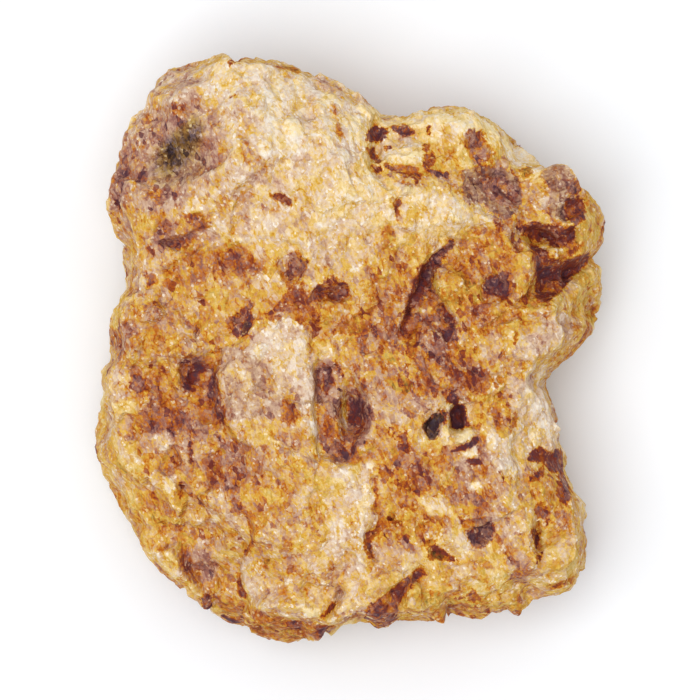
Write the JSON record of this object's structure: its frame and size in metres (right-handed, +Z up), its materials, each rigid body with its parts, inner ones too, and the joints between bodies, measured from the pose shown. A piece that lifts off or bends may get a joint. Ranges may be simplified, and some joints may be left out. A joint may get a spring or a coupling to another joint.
{
  "type": "labradorite specimen",
  "caption": "Rough, iron-stained lump of labradorite feldspar, broken on all sides, that lies on a flat break on its back.",
  "frame": {"origin": "centre of the stone's box, on the surface it rests on", "axes": "+Z up out of the broken face and through the thinnest way, +Y along the longest way towards the domed end"},
  "size_m": [0.1018, 0.1176, 0.0476],
  "materials": {
    "stained_feldspar": "rough broken feldspar, cream to ochre, with rust stains, dark mineral grains and small cleavage glints"
  },
  "bodies": {
    "root": {"labradorite_specimen": "stained_feldspar"}
  },
  "joints": []
}
